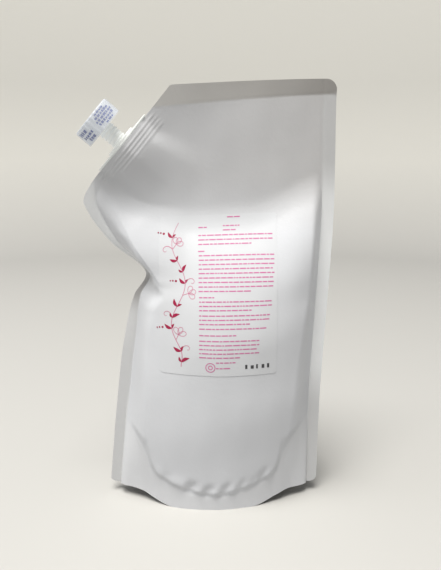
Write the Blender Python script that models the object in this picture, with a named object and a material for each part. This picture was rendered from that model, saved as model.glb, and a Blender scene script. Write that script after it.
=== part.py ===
"""Refill pouch for shampoo: a filled stand-up film pouch with a spout welded in its cut corner.

Metres, +Z up. The pouch's front faces -Y and the origin is the middle of its base, on the table.
Five pieces: pouch, spout, cap, cap_film and front_label.
"""

import math

import bmesh
import bpy
import numpy as np
from mathutils import Matrix, Vector

# Flat film size
WIDTH = 0.180
HEIGHT = 0.3205
TOP_SAG = 0.0045         # the cut corner hangs lower than the other top corner
TOP_SAG_SHAPE = 2.0      # above 1, most of the sag is at the cut corner's end
TOP_CORNER_R = 0.008
SIDE_SEAL = 0.009
FILM = 0.001             # two layers of film where they meet
SHEET = 0.0011           # a skirt under the gusset, front film and gusset film together

# Cut corner and its seal
CUT_X = 0.0622           # along the top edge, from the left edge
CUT_Z = 0.0727           # down from the top edge's end
CUT_FOOT_RUN = 0.0135    # the cut's foot rounds off into the side edge over this width
CUT_FOOT_DROP = 0.0058   # and ends this much lower
CORNER_LEAN = 0.155      # the cut corner bends forward with its spout and cap
CORNER_FOLD = 0.030      # distance in from the cut at which it bends
CORNER_BEND = 0.014      # half the length of film over which it does

# Contents
BULGE_FRONT = 0.034
BULGE_BACK = 0.026
ARCH = 0.62              # how far the filled front falls off towards the sides
BASE_BLEND = 0.095       # height at which the base's lens has become the full bulge
SHOULDER = 0.100         # drop from the valley to where the bulge is full
VALLEY_SOFT = 0.012      # the film lifts off gently either side of the valley
BASE_HALF = 0.028        # half depth of the pouch at the table
ARCH_DROP = 1.2          # how soon below the valley the arch is full
SIDE_MELT = 0.020        # rounding where the two side facets meet
RIDGE_FRONT = 0.0045     # rounding of the ridge between side facet and roof
RIDGE_BACK = 0.010
LEAN_DROP = 0.0925       # the empty top leans forward from this far below the top
LEAN_SLOPE = 0.105
LEAN_BEND = 0.020        # length of film over which it bends into the lean

# How far the side edges are drawn in, by height above the table, then by drop from the top
LEFT_DRAW_LOW = [(0.000, 0.005), (0.080, 0.014)]
LEFT_DRAW_HIGH = [(0.1885, 0.0215), (0.1545, 0.030), (0.1365, 0.0393), (0.1145, 0.0148), (0.0955, 0.0012),
                  (0.0901, -0.0011), (0.0858, -0.0030), (0.0830, -0.0035)]
RIGHT_DRAW_LOW = [(0.000, 0.005), (0.080, 0.005)]
RIGHT_DRAW_HIGH = [(0.1275, 0.0010), (0.092, 0.0002), (0.062, 0.0012), (0.015, 0.0034), (0.000, 0.0038)]
# Slope of the side facets between seal and ridge, in the same way
LEFT_SLOPE_LOW = [(0.000, 1.3), (0.100, 1.6)]
LEFT_SLOPE_HIGH = [(0.1805, 1.9), (0.1625, 1.6), (0.1465, 1.6), (0.1365, 4.8), (0.1315, 5.8), (0.1195, 2.1),
                   (0.1045, 1.15), (0.0895, 0.55), (0.0805, 0.5)]
RIGHT_SLOPE_LOW = [(0.000, 1.3), (0.120, 1.8)]
RIGHT_SLOPE_HIGH = [(0.1165, 2.4), (0.0715, 0.9)]
# Side to side place of the valley where the film goes flat, and its drop from the top
VALLEY_DROP = [(-0.092, 0.078), (-0.064, 0.0805), (-0.046, 0.086), (-0.028, 0.0925), (-0.018, 0.0955),
               (0.002, 0.094), (0.040, 0.089), (0.071, 0.0735), (0.090, 0.0705)]
PINCH_DROP = 0.1385      # from the top to the pinch in the left side
PINCH_HIGH = 0.030       # height over which the pinch fades
PINCH_TURN = 0.0055      # apparent seal width that the pinch takes away
PINCH_SWING = 0.0126     # how far the seal's edge swings back where it is turned edge on
CORNER_LIFT = 0.009      # the base corners curl up off the table
CORNER_FROM = 0.030      # distance from the middle at which they start to
CORNER_RUN = 0.032
# Distance from the middle, and the height of the gusset's seam and of its middle fold
GUSSET_SEAM = [(0.000, 0.008), (0.028, 0.010), (0.048, 0.034), (0.062, 0.050), (0.072, 0.0105)]
GUSSET_FOLD = [(0.000, 0.000), (0.028, 0.000), (0.048, 0.026), (0.062, 0.046), (0.072, 0.0100)]
REST_HALF = 0.55         # share of the base depth that lies flat on the table
REST_X = 0.029           # half width that lies flat on the table
GUSSET_BEND = 0.74       # share of the base depth where the gusset turns up to its seam
GUSSET_MIX = 0.35        # how far towards the seam's height it is there
SEAM_IN = 0.97           # the gusset's seam stands in from the rim
SKIRT_SHARE = 0.6        # most of the half depth that the skirt takes at the thin ends
FOLD_GAP = 0.0003        # least height from the rim to the gusset

# Label
LABEL_LEFT = 0.038
LABEL_RIGHT = 0.047
LABEL_DROP = 0.093       # from the film's top to the label's
LABEL_H = 0.1135
LABEL_SKEW = 0.040       # its head climbs this much to the right
LABEL_LIFT = 0.00045     # glue and air under it
LABEL_T = 0.0003

# Spout, sizes along its axis measured from the film's cut edge
CLEAR = 0.0003
SPOUT_ALONG = 0.528      # place along the cut edge, from its top end
BOAT_HALF = 0.0245
BOAT_DEPTH = 0.0125
NECK_R = 0.0056
BOAT_T = 0.0064
BOAT_SHAPE = 1.35        # power of the boat's outline: 1 is a diamond, 2 an oval
FIN_T = 0.0005
TENT_REACH = 0.055       # how far in from the boat the film still stands off
TENT_FROM = 0.001        # first stretch past the boat, where it keeps the boat's depth
TENT_FADE = 1.6
TENT_SIDE = 0.0035       # past the boat's tips
TENT_SIDE_RUN = 0.003
TENT_MELT = 0.0006
BORE_R = 0.0045
RIB_COUNT = 4
RIB_PROUD = 0.0005
RIB_GROOVE = 0.45        # shares of the ribs' pitch, where a groove ends, a rib is full and it ends
RIB_FROM = 0.55
RIB_TO = 0.90
PLATE_FOOT = 0.0004      # the boat's top plate stands just off the film's edge
PLATE_T = 0.0009
PLATE_PROUD = 0.0009
FLANGE_T = 0.0014
FLANGE_HALF = 0.0125
FLANGE_HALF_T = 0.0070
RING_COUNT = 4
RING_PITCH = 0.0030
RING_FIRST = 0.00135     # from the flange to the first ring's middle
RING_HALF = 0.00054
RING_FOOT_HALF = 0.00086
RING_PROUD = 0.0008
THREAD_PITCH = 0.0030
THREAD_TURNS = 2.5
THREAD_PROUD = 0.0009
THREAD_END = 0.0012      # plain neck above the thread
THREAD_RUN_OUT = 0.6     # turns over which it starts and ends
THREAD_FLANK = 5.0       # steepness of its flanks
THREAD_CREST = 1.7       # above 1, the crest is flat
THREAD_FADE = 5          # mesh steps over which it fades at its ends
NECK_TOP = 0.0255
LIP_R = 0.0004
BOAT_WALL = 0.0007       # film over the boat
SEAT_MOUTH = 0.004       # how far the pocket's cutter stands out of the cut edge

# Cap
CAP_FOOT = 0.0158
SLEEVE_UP = 0.0012       # the sleeve ends above the skirt's foot
SLEEVE_CLEAR = 0.00045   # from the thread's crest
CAP_H = 0.0121
CAP_R = 0.0155
CAP_TOP_T = 0.0016
SKIRT_T = 0.0014
SLEEVE_T = 0.0015
FLUTES = 26
FLUTE_DEPTH = 0.0005
CAP_EDGE = 0.0008
CAP_FILM_T = 0.00035
CAP_FILM_MARGIN = 0.0004

# Mesh steps
ROW_COUNTS = (7, 4, 15, 2, 11)       # foot, below the label, label, up to the valley, top
COLUMN_COUNTS = (2, 11, 9, 8, 2)     # seal, left of the label, label, right of it, seal
COLUMN_CROWD = 1.35      # power by which the left columns close up towards the seal
VALLEY_ROW_GAP = 0.003   # least height of the rows from the label's head to the valley
EDGE_ROW_GAP = 0.002     # least height of the rows from there to the upper edge
ROUND = 28
THREAD_STEPS = 6
Z_FOOT = 0.070


def clear_scene():
    for item in list(bpy.data.objects):
        bpy.data.objects.remove(item, do_unlink=True)


def collection(name):
    made = bpy.data.collections.new(name)
    bpy.context.scene.collection.children.link(made)
    return made


def material(name, colour, roughness, alpha=1.0):
    made = bpy.data.materials.new(name)
    made.use_nodes = True
    shader = made.node_tree.nodes["Principled BSDF"]
    shader.inputs["Base Color"].default_value = (*colour, 1.0)
    shader.inputs["Roughness"].default_value = roughness
    shader.inputs["Metallic"].default_value = 0.0
    shader.inputs["Alpha"].default_value = alpha
    return made


def add_mesh(name, points, faces, group, look):
    mesh = bpy.data.meshes.new(name)
    mesh.from_pydata([tuple(p) for p in points], [], [tuple(f) for f in faces])
    mesh.validate()
    mesh.materials.append(look)
    made = bpy.data.objects.new(name, mesh)
    group.objects.link(made)
    return made


def face_out(made):
    shape = bmesh.new()
    shape.from_mesh(made.data)
    bmesh.ops.recalc_face_normals(shape, faces=shape.faces)
    if shape.calc_volume(signed=True) < 0:
        bmesh.ops.reverse_faces(shape, faces=shape.faces)
    shape.to_mesh(made.data)
    shape.free()
    made.data.shade_smooth()
    made.data.set_sharp_from_angle(angle=math.radians(35))


def along(table, at):
    """Smooth curve through a table's points, by cubic Hermite pieces with mean slopes."""
    x = np.array([p[0] for p in table])
    y = np.array([p[1] for p in table])
    step = np.diff(y) / np.diff(x)
    slope = np.concatenate([[step[0]], (step[1:] + step[:-1]) / 2, [step[-1]]])
    at = np.clip(at, x[0], x[-1])
    i = np.clip(np.searchsorted(x, at, side="right") - 1, 0, len(x) - 2)
    w = x[i + 1] - x[i]
    t = (at - x[i]) / w
    return (y[i] * (1 + 2 * t) * (1 - t) ** 2 + y[i + 1] * t**2 * (3 - 2 * t)
            + w * t * (1 - t) * (slope[i] * (1 - t) - slope[i + 1] * t))


def ease(t):
    t = np.clip(t, 0.0, 1.0)
    return t * t * (3 - 2 * t)


def soft_min(a, b, reach):
    mix = np.clip(0.5 + 0.5 * (b - a) / reach, 0, 1)
    return b * (1 - mix) + a * mix - reach * mix * (1 - mix)


def soft_max(a, b, reach):
    return -soft_min(-a, -b, reach)


# Cut edge, from its top end down to the left, with the leaning film's directions at the spout

CUT_TOP = np.array([CUT_X - WIDTH / 2, HEIGHT - TOP_SAG])
CUT_FOOT = CUT_TOP - np.array([CUT_X - LEFT_DRAW_HIGH[-1][1], CUT_Z])
SIDE_TOP = CUT_FOOT[1] - CUT_FOOT_DROP
CUT_DIR = (CUT_TOP - CUT_FOOT) / np.linalg.norm(CUT_TOP - CUT_FOOT)
SPOUT_AT = CUT_TOP + SPOUT_ALONG * (CUT_FOOT - CUT_TOP)
SLOPE_X = CORNER_LEAN * CUT_DIR[1]
SLOPE_Z = -LEAN_SLOPE - CORNER_LEAN * CUT_DIR[0]
EDGE = Vector((CUT_DIR[0], -LEAN_SLOPE * CUT_DIR[1], CUT_DIR[1])).normalized()
BACKWARD = Vector((-SLOPE_X, 1, -SLOPE_Z)).normalized()
OUT = EDGE.cross(BACKWARD)


def from_ends(low, high):
    """One table by height, from one by height above the table and one by drop from the top."""
    return low + [(HEIGHT - drop, value) for drop, value in high]


def lean(z):
    """How far forward the middle of the film stands at height z: the empty top leans."""
    return LEAN_SLOPE * soft_max(z - (HEIGHT - LEAN_DROP), 0.0 * z, LEAN_BEND)


def into_bend(x, z):
    """How far out past the bend's middle line a point is, towards the cut."""
    from_cut = (x - CUT_TOP[0]) * CUT_DIR[1] - (z - CUT_TOP[1]) * CUT_DIR[0]
    return CORNER_FOLD - from_cut


def middle(x, z):
    """Y of the film's middle: the empty top leans and the cut corner bends forward."""
    return -lean(z) - CORNER_LEAN * soft_max(into_bend(x, z), 0.0 * z, CORNER_BEND)


def seal_width(z):
    """Apparent width of the left seal, less where the pinch turns it edge on."""
    return SIDE_SEAL - PINCH_TURN * np.exp(-(((z - (HEIGHT - PINCH_DROP)) / PINCH_HIGH) ** 2))


def left_edge(z):
    return -WIDTH / 2 + along(from_ends(LEFT_DRAW_LOW, LEFT_DRAW_HIGH), z)


def right_edge(z):
    return WIDTH / 2 - along(from_ends(RIGHT_DRAW_LOW, RIGHT_DRAW_HIGH), z)


def top_edge(x):
    """Height of the film's upper edge over x: the cut, the sagging top and the round corner."""
    right = WIDTH / 2
    flat = HEIGHT - TOP_SAG * np.abs((right - x) / (right - CUT_TOP[0])) ** TOP_SAG_SHAPE
    into = np.clip(x - (right - TOP_CORNER_R), 0, TOP_CORNER_R)
    flat = flat - (TOP_CORNER_R - np.sqrt(np.maximum(TOP_CORNER_R**2 - into**2, 0)))
    cut = CUT_TOP[1] + (x - CUT_TOP[0]) * CUT_DIR[1] / CUT_DIR[0]
    past = np.clip((CUT_FOOT[0] - x) / CUT_FOOT_RUN + 1, 0, 1)
    return np.minimum(flat, cut - CUT_FOOT_DROP * (1 - np.sqrt(1 - past**2)))


def bottom_edge(x):
    return CORNER_LIFT * ease((np.abs(x) - CORNER_FROM) / CORNER_RUN)


def base_depth(x):
    """Half depth of the base at the table, a lens from corner to corner."""
    tip = WIDTH / 2 - LEFT_DRAW_LOW[0][1] - SIDE_SEAL / 2
    return BASE_HALF * np.clip(1 - (x / tip) ** 2, 0, 1)


def boat_half(e):
    """Half thickness of the spout's boat at e along the cut edge, a lens with thin fins for ends."""
    return FIN_T + (BOAT_T - FIN_T) * np.clip(1 - (np.abs(e) / BOAT_HALF) ** BOAT_SHAPE, 0, 1)


def tent(x, z):
    """Half thickness that the boat gives the film, fading inwards from the weld."""
    dx, dz = x - SPOUT_AT[0], z - SPOUT_AT[1]
    e = dx * (EDGE.x + SLOPE_X * EDGE.y) + dz * (EDGE.z + SLOPE_Z * EDGE.y)
    n = -dx * (OUT.x + SLOPE_X * OUT.y) - dz * (OUT.z + SLOPE_Z * OUT.y)
    past = np.clip(n - BOAT_DEPTH - TENT_FROM, 0, None)
    fade = np.clip(1 - past / TENT_REACH, 0, 1) ** TENT_FADE
    wider = 1 + past / TENT_REACH
    ends = ease((BOAT_HALF * wider + TENT_SIDE - np.abs(e)) / TENT_SIDE_RUN)
    return (boat_half(e / wider) + CLEAR + BOAT_WALL) * ends * fade


def half_depth(x, z, left, right, valley, bulge, crisp):
    """Half thickness of the filled pouch: two side facets and a roof, joined by ridges."""
    ramp_left = along(from_ends(LEFT_SLOPE_LOW, LEFT_SLOPE_HIGH), z) * np.clip(x - left, 0, None)
    ramp_right = along(from_ends(RIGHT_SLOPE_LOW, RIGHT_SLOPE_HIGH), z) * np.clip(right - x, 0, None)
    down = np.clip(soft_max(valley - z, 0.0 * z, VALLEY_SOFT) / SHOULDER, 0, 1)
    across = np.clip((2 * x - left - right) / (right - left), -1, 1)
    arch = 1 - ARCH * across**2 * ease(down * ARCH_DROP)
    roof = bulge * np.sin(down * math.pi / 2) * arch
    full = soft_min(soft_min(ramp_left, ramp_right, SIDE_MELT), roof, crisp)
    blend = ease(z / BASE_BLEND)
    return np.clip(base_depth(x) * (1 - blend) + full * blend, 0, None)


def film_point(x, z, left, right, valley):
    """Front and back points of the film over x, z, each half its thickness off the middle."""
    outer = np.clip(left - x, 0, None) + np.clip(x - right, 0, None)
    turned = 1 - seal_width(z) / SIDE_SEAL
    turn = PINCH_SWING * turned * np.clip(left - x, 0, None) / SIDE_SEAL
    front = half_depth(x, z, left, right, valley, BULGE_FRONT, RIDGE_FRONT)
    back = half_depth(x, z, left, right, valley, BULGE_BACK, RIDGE_BACK)
    boat = tent(x, z)
    inside = np.where(outer > 0, 0, 1)
    front = soft_max(front * inside, boat, TENT_MELT) + FILM / 2
    back = soft_max(back * inside, boat, TENT_MELT) + FILM / 2
    # The bend's own slope, then the film's normal
    bent = CORNER_LEAN * np.clip(0.5 + 0.5 * into_bend(x, z) / CORNER_BEND, 0, 1)
    tilt_z = LEAN_SLOPE * np.clip((z - HEIGHT + LEAN_DROP) / LEAN_BEND, 0, 1) + bent * CUT_DIR[0]
    normal = np.stack([-bent * CUT_DIR[1], 1 + 0.0 * z, tilt_z], axis=-1)
    normal /= np.linalg.norm(normal, axis=-1, keepdims=True)
    place = np.stack([x, middle(x, z) + turn, z], axis=-1)
    return place - normal * front[..., None], place + normal * back[..., None]


def spread(counts, stops):
    """Values from stop to stop, with the given number of steps in each stretch."""
    parts = [np.linspace(a, b, n, endpoint=False) for n, a, b in zip(counts, stops, stops[1:])]
    return np.concatenate(parts + [[stops[-1]]])


def film_grid():
    """Front and back points of the film, by column across and row up, with the label's rows."""
    label_l, label_r = -LABEL_LEFT, LABEL_RIGHT
    l_out, r_out = left_edge(SIDE_TOP), right_edge(SIDE_TOP)
    l_in, r_in = l_out + SIDE_SEAL, r_out - SIDE_SEAL
    share = spread(COLUMN_COUNTS, range(6))
    # Columns close up towards the seals, where the ridges are
    share = np.where((share > 1) & (share < 2), 1 + np.abs(share - 1) ** COLUMN_CROWD, share)
    nominal = np.interp(share, range(6), (l_out, l_in, label_l, label_r, r_in, r_out))
    valley = HEIGHT - along(VALLEY_DROP, nominal)
    top = top_edge(nominal)
    foot = bottom_edge(nominal)
    level = spread(ROW_COUNTS, range(6))
    shape = (len(share), len(level))
    z = np.empty(shape)
    for c in range(shape[0]):
        head = HEIGHT - LABEL_DROP + LABEL_SKEW * nominal[c]
        crease = min(max(valley[c], head + VALLEY_ROW_GAP), top[c] - EDGE_ROW_GAP)
        label_foot = HEIGHT - LABEL_DROP - LABEL_H
        z[c] = np.interp(level, range(6), (foot[c], Z_FOOT, label_foot, head, crease, top[c]))
    lo, ro = left_edge(z), right_edge(z)
    lo = np.where(z > SIDE_TOP, l_out, lo)
    li, ri = lo + seal_width(z), ro - SIDE_SEAL
    stops = np.stack([lo, li, np.full(shape, label_l), np.full(shape, label_r), ri, ro])
    whole = np.minimum(share.astype(int), 4)
    part = (share - whole)[:, None]
    c = np.arange(shape[0])
    x = stops[whole, c] * (1 - part) + stops[whole + 1, c] * part
    front, back = film_point(x, z, li, ri, valley[:, None])
    return share, level, front, back


def gusset_loop(x, front_foot, back_foot, foot):
    """Points under the pouch at one column, from the front rim to the back rim."""
    side = abs(x)
    seam = max(float(along(GUSSET_SEAM, side)), foot + FOLD_GAP)
    fold = max(float(along(GUSSET_FOLD, side)), 0.0 if side < REST_X else foot + FOLD_GAP)
    in_f = -front_foot - min(SHEET, -front_foot * SKIRT_SHARE)
    in_b = back_foot - min(SHEET, back_foot * SKIRT_SHARE)
    bend = fold + (seam - fold) * GUSSET_MIX
    lead = [(-in_f, foot), (-in_f * SEAM_IN, seam), (-in_f * GUSSET_BEND, bend), (-in_f * REST_HALF, fold)]
    back = [(in_b * REST_HALF, fold), (in_b * GUSSET_BEND, bend), (in_b * SEAM_IN, seam), (in_b, foot)]
    return lead + [(0.0, fold)] + back


def make_pouch(group, look):
    """Closed slices from the left seal to the right, each once round the pouch, with end caps."""
    share, level, front, back = film_grid()
    rows = len(level)
    points, count = [], None
    for c in range(len(share)):
        x, front_foot, foot = front[c, 0]
        under = gusset_loop(x, front_foot, back[c, 0, 1], foot)
        slice_points = [*front[c, ::-1], *[(x, y, height) for y, height in under], *back[c]]
        count = len(slice_points)
        points += slice_points
    faces = []
    for c in range(len(share) - 1):
        a, b = c * count, (c + 1) * count
        faces += [(a + i, a + (i + 1) % count, b + (i + 1) % count, b + i) for i in range(count)]
    for start in (0, (len(share) - 1) * count):
        pairs = zip(range(start, start + rows - 2), range(start + count - 1, start + count - rows + 1, -1))
        faces += [(f, f + 1, b - 1, b) for f, b in pairs]
        faces += [tuple(range(start + rows - 2, start + count - rows + 2))]
    made = add_mesh("pouch", points, faces, group, look)
    face_out(made)
    return made


def make_label(group, look):
    """Sticker: the film's own grid between the label's edges, lifted off along the normals."""
    share, level, place, _ = film_grid()
    cols = np.where((share >= 2) & (share <= 3))[0]
    rows = np.where((level >= 2) & (level <= 3))[0]
    across = np.gradient(place, axis=0)
    up = np.gradient(place, axis=1)
    normal = np.cross(across, up)
    normal /= np.linalg.norm(normal, axis=-1, keepdims=True)
    pick = np.ix_(cols, rows)
    under = (place + normal * LABEL_LIFT)[pick]
    over = (place + normal * (LABEL_LIFT + LABEL_T))[pick]
    n, m = len(cols), len(rows)
    points = np.concatenate([under.reshape(-1, 3), over.reshape(-1, 3)])
    at = np.arange(n * m).reshape(n, m)
    faces = []
    for i in range(n - 1):
        for j in range(m - 1):
            quad = (at[i, j], at[i + 1, j], at[i + 1, j + 1], at[i, j + 1])
            faces += [quad[::-1], tuple(v + n * m for v in quad)]
    rim = [*at[:, 0], *at[-1, 1:], *at[-2::-1, -1], *at[0, -2:0:-1]]
    for a, b in zip(rim, rim[1:] + rim[:1]):
        faces.append((a, b, b + n * m, a + n * m))
    made = add_mesh("front_label", points, [tuple(int(v) for v in f) for f in faces], group, look)
    face_out(made)
    return made


def lofted(name, rings, group, look, capped=False):
    """Closed skin through rings of equal length: capped at both ends, or the last joined to the first."""
    count = len(rings[0])
    points = [p for ring in rings for p in ring]
    faces = []
    for r in range(len(rings) - capped):
        a, b = r * count, (r + 1) % len(rings) * count
        faces += [(a + i, a + (i + 1) % count, b + (i + 1) % count, b + i) for i in range(count)]
    if capped:
        faces += [tuple(range(count)), tuple(range(len(points) - count, len(points)))]
    made = add_mesh(name, points, faces, group, look)
    face_out(made)
    return made


def boat_ring(height, inset, grow=0.0):
    """Ring of the boat's outline, following boat_half, inset or grown."""
    ring = []
    for k in range(ROUND):
        turn = 2 * math.pi * (k + 0.5) / ROUND
        e = BOAT_HALF * math.cos(turn)
        half = float(boat_half(e)) * (1 - inset / BOAT_T) + grow
        ring.append((e * (1 + grow / BOAT_HALF), math.copysign(half, math.sin(turn)), height))
    return ring


def oval_ring(height, half_x, half_y):
    turns = [2 * math.pi * (k + 0.5) / ROUND for k in range(ROUND)]
    return [(half_x * math.cos(t), half_y * math.sin(t), height) for t in turns]


def neck_profile():
    """Heights and radii up the plain neck, with its thin rings."""
    profile = []
    for k in range(RING_COUNT):
        middle = PLATE_FOOT + PLATE_T + FLANGE_T + RING_FIRST + RING_PITCH * k
        crest = NECK_R + RING_PROUD
        profile += [(middle - RING_FOOT_HALF, NECK_R), (middle - RING_HALF, crest)]
        profile += [(middle + RING_HALF, crest), (middle + RING_FOOT_HALF, NECK_R)]
    return profile


def thread_rings():
    """Rings of the threaded stretch: the radius rises along a helix and fades at both ends."""
    head = NECK_TOP - THREAD_END
    foot = head - THREAD_PITCH * (THREAD_TURNS + THREAD_RUN_OUT)
    steps = round((head - foot) / THREAD_PITCH * THREAD_STEPS)
    rings = []
    for s in range(steps + 1):
        height = foot + (head - foot) * s / steps
        fade = min(1.0, s / THREAD_FADE, (steps - s) / THREAD_FADE)
        ring = []
        for k in range(ROUND):
            turn = 2 * math.pi * (k + 0.5) / ROUND
            phase = (height / THREAD_PITCH - turn / (2 * math.pi)) % 1.0
            crest = min(1.0, max(0.0, THREAD_CREST - THREAD_FLANK * abs(phase - 0.5)))
            radius = NECK_R + THREAD_PROUD * crest * fade
            ring.append((radius * math.cos(turn), radius * math.sin(turn), height))
        rings.append(ring)
    return rings


def make_spout(group, look):
    """Boat with weld ribs, top plate, oval flange, ringed neck, thread and lip, then down the bore."""
    rings = []
    step = BOAT_DEPTH / RIB_COUNT
    for k in range(RIB_COUNT):
        foot = -BOAT_DEPTH + k * step
        rings += [boat_ring(foot, 0), boat_ring(foot + step * RIB_GROOVE, 0)]
        rings += [boat_ring(foot + step * RIB_FROM, RIB_PROUD), boat_ring(foot + step * RIB_TO, RIB_PROUD)]
    plate_top = PLATE_FOOT + PLATE_T
    rings += [boat_ring(PLATE_FOOT, RIB_PROUD), boat_ring(PLATE_FOOT, 0, PLATE_PROUD)]
    rings += [boat_ring(plate_top, 0, PLATE_PROUD), oval_ring(plate_top, FLANGE_HALF, FLANGE_HALF_T)]
    rings += [oval_ring(plate_top + FLANGE_T, FLANGE_HALF, FLANGE_HALF_T)]
    rings += [oval_ring(height, radius, radius) for height, radius in neck_profile()]
    rings += thread_rings()
    rings += [oval_ring(NECK_TOP - LIP_R, NECK_R, NECK_R), oval_ring(NECK_TOP, NECK_R - LIP_R, NECK_R - LIP_R)]
    rings += [oval_ring(NECK_TOP, BORE_R, BORE_R), oval_ring(-BOAT_DEPTH, BORE_R, BORE_R)]
    made = lofted("spout", rings, group, look)
    made.matrix_world = spout_frame()
    return made


def spout_frame():
    """Local X up along the cut edge, local Z out of it, local Y the film's thickness."""
    place = Vector((SPOUT_AT[0], float(middle(*SPOUT_AT)), SPOUT_AT[1]))
    turn = Matrix((EDGE, BACKWARD, OUT)).transposed().to_4x4()
    return Matrix.Translation(place) @ turn


def seat_cutter(group):
    """Pocket for the boat: the boat's outline grown by the clearance, open past the cut edge."""
    bottom = -BOAT_DEPTH - CLEAR
    rings = [boat_ring(bottom, 0, CLEAR), boat_ring(SEAT_MOUTH, 0, CLEAR)]
    cutter = lofted("seat_cutter", rings, group, material("cutter", (0.5, 0.5, 0.5), 0.5), capped=True)
    cutter.matrix_world = spout_frame()
    cutter.hide_render = True
    cutter.display_type = "WIRE"
    return cutter


def cap_outline(radius, height, depth):
    """Fluted ring of the cap's skirt."""
    ring = []
    for k in range(FLUTES * 4):
        turn = 2 * math.pi * k / (FLUTES * 4)
        cut = depth if k % 4 in (0, 1) else 0.0
        ring.append(((radius - cut) * math.cos(turn), (radius - cut) * math.sin(turn), height))
    return ring


def make_cap(group, look):
    """Top plate with a fluted outer skirt and an inner sleeve round the neck, all one moulding."""
    top = CAP_FOOT + CAP_H
    under = top - CAP_TOP_T
    inner = NECK_R + THREAD_PROUD + SLEEVE_CLEAR
    sleeve = inner + SLEEVE_T
    inside = CAP_R - SKIRT_T
    sleeve_foot = CAP_FOOT + SLEEVE_UP
    rings = [cap_outline(CAP_R - CAP_EDGE, top, 0.0), cap_outline(CAP_R, top - CAP_EDGE, 0.0)]
    rings += [cap_outline(CAP_R, top - CAP_EDGE * 2, FLUTE_DEPTH), cap_outline(CAP_R, CAP_FOOT, FLUTE_DEPTH)]
    rings += [cap_outline(inside, CAP_FOOT, 0.0), cap_outline(inside, under, 0.0)]
    rings += [cap_outline(sleeve, under, 0.0), cap_outline(sleeve, sleeve_foot, 0.0)]
    rings += [cap_outline(inner, sleeve_foot, 0.0), cap_outline(inner, under, 0.0)]
    made = lofted("cap", rings, group, look, capped=True)
    made.matrix_world = spout_frame()
    return made


def make_cap_film(group, look):
    """Clear printed band round the cap's skirt."""
    inner = CAP_R + CLEAR
    foot, head = CAP_FOOT - CAP_FILM_MARGIN, CAP_FOOT + CAP_H - CAP_EDGE
    rings = [oval_ring(foot, inner, inner), oval_ring(foot, inner + CAP_FILM_T, inner + CAP_FILM_T)]
    rings += [oval_ring(head, inner + CAP_FILM_T, inner + CAP_FILM_T), oval_ring(head, inner, inner)]
    made = lofted("cap_film", rings, group, look)
    made.matrix_world = spout_frame()
    return made


def main():
    clear_scene()
    parts = collection("refill_pouch")
    cutters = collection("cutters")
    cutters.hide_render = True
    film = material("white_film", (0.80, 0.80, 0.79), 0.35)
    plastic = material("natural_plastic", (0.80, 0.82, 0.79), 0.40)
    clear = material("clear_film", (0.85, 0.88, 0.92), 0.15, 0.4)
    paper = material("label_paper", (0.86, 0.85, 0.87), 0.40)
    pouch = make_pouch(parts, film)
    pocket = pouch.modifiers.new("spout_seat", "BOOLEAN")
    pocket.operation = "DIFFERENCE"
    pocket.solver = "EXACT"
    pocket.object = seat_cutter(cutters)
    make_label(parts, paper)
    make_spout(parts, plastic)
    make_cap(parts, plastic)
    make_cap_film(parts, clear)


main()
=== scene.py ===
import math

import bmesh
import bpy
import numpy as np
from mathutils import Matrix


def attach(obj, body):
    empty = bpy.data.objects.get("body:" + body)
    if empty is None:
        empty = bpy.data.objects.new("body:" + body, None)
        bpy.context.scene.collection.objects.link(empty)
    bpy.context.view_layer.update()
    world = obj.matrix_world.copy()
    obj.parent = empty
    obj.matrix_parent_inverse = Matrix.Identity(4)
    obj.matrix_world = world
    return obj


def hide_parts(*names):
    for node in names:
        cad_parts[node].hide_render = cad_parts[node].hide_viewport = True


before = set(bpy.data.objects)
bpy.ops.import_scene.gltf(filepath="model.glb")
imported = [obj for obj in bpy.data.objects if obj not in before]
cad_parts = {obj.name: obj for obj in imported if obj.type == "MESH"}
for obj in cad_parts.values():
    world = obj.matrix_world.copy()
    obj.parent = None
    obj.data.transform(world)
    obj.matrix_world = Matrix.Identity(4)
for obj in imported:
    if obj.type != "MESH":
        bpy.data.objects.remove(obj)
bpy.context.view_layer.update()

# Studio: a pale bowl of floor and wall, a broad soft lamp above the front, a weak one at the
# left and the camera. The camera stands 0.4 m in front, a little above the middle of the pack,
# and looks 12 degrees down.

CAMERA_AT = (0.00625, -0.395, 0.258)
CAMERA_DOWN = 12.0
CAMERA_LENS = 33.5
FLOOR_R = 1.3
WALL_BEND_R = 0.6
WALL_TOP = 1.2
WALL_COLOUR = (0.70, 0.685, 0.63)
FLOOR_COLOUR = (0.56, 0.55, 0.52)
FLOOR_BOUNCE = (0.33, 0.33, 0.33)
FLOOR_ROUGH = 0.85
FLOOR_HOLE_R = 0.001
WALL_FADE = WALL_BEND_R * 0.5
KEY_WATTS = 140.0
KEY_WIDTH = 1.6
KEY_AT = (-0.43, -1.00, 3.05)
KEY_AIM = (0.0, 0.0, 0.18)
KEY_TINT = (1.0, 0.985, 0.96)
SIDE_WATTS = 2.2
SIDE_WIDTH = 0.7
SIDE_AT = (-1.10, -0.35, 0.95)
SIDE_AIM = (0.0, 0.0, 0.20)
SIDE_TINT = (0.94, 0.97, 1.0)
SKY_LEVEL = 0.13
SKY_TINT = (0.93, 0.96, 1.0)

camera = bpy.data.objects.new("camera", bpy.data.cameras.new("camera"))
camera.data.sensor_width = 36.0
camera.data.lens = CAMERA_LENS
camera.location = CAMERA_AT
camera.rotation_euler = (math.radians(90.0 - CAMERA_DOWN), 0.0, 0.0)
bpy.context.scene.collection.objects.link(camera)
bpy.context.scene.camera = camera


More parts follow.
